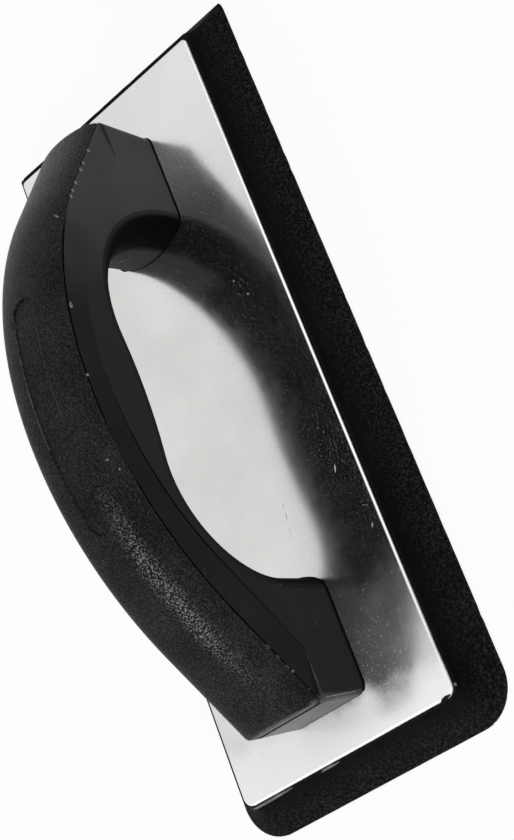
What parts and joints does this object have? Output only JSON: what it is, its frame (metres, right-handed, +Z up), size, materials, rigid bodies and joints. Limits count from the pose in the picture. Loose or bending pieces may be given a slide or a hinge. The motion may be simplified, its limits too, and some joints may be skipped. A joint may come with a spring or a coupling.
{
  "type": "grout float",
  "caption": "Hand float for grouting and masonry: a flared black rubber pad under a steel plate, with a hollow two-shell plastic bow handle.",
  "frame": {"origin": "centre of the rubber sole's underside", "axes": "+X towards the toe, the end with square corners; +Z up from the sole to the handle; +Y across"},
  "size_m": [0.2414, 0.1006, 0.0846],
  "materials": {
    "rubber": "black gum rubber, moulded, matt",
    "adhesive": "cured contact adhesive",
    "plate_steel": "satin stainless sheet",
    "shell_smooth": "moulded polypropylene, satin",
    "shell_grip": "moulded polypropylene, spark-textured",
    "screw_steel": "zinc plated"
  },
  "bodies": {
    "root": {"rubber_sole": "rubber", "adhesive_film": "adhesive", "backing_plate": "plate_steel", "handle_body": "shell_smooth", "handle_back": "shell_grip", "screw_heel_outer": "screw_steel", "screw_heel_inner": "screw_steel", "screw_toe_inner": "screw_steel", "screw_toe_outer": "screw_steel"}
  },
  "joints": []
}
